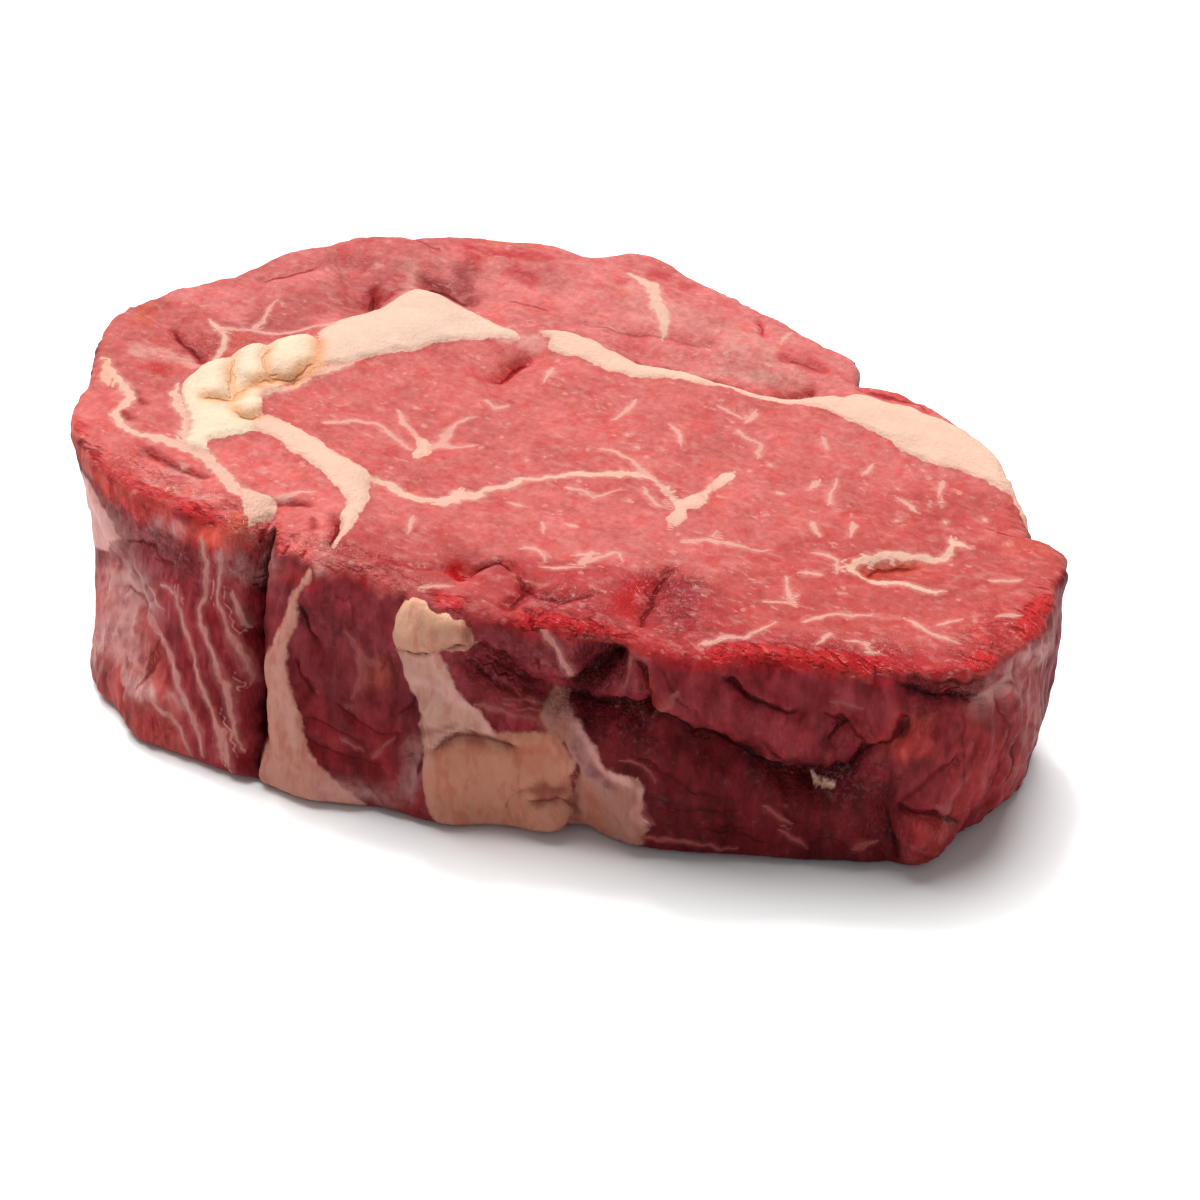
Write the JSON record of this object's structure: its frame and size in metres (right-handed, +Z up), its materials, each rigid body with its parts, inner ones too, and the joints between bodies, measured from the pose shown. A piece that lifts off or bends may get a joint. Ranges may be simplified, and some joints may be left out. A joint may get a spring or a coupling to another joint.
{
  "type": "raw ribeye steak",
  "caption": "Thick raw ribeye steak: marbled red muscle with a kernel and seams of cream fat, a bright cut rim and a darker, creased side wall.",
  "frame": {"origin": "centre of the steak's box, on the plane it lies on", "axes": "+X along the steak towards its rounded end, +Y towards the rounded back with the cap muscle, +Z up through the thickness"},
  "size_m": [0.1864, 0.1258, 0.0494],
  "materials": {
    "meat": "moist satin, marbled red with cream fat"
  },
  "bodies": {
    "root": {"ribeye_steak": "meat"}
  },
  "joints": []
}
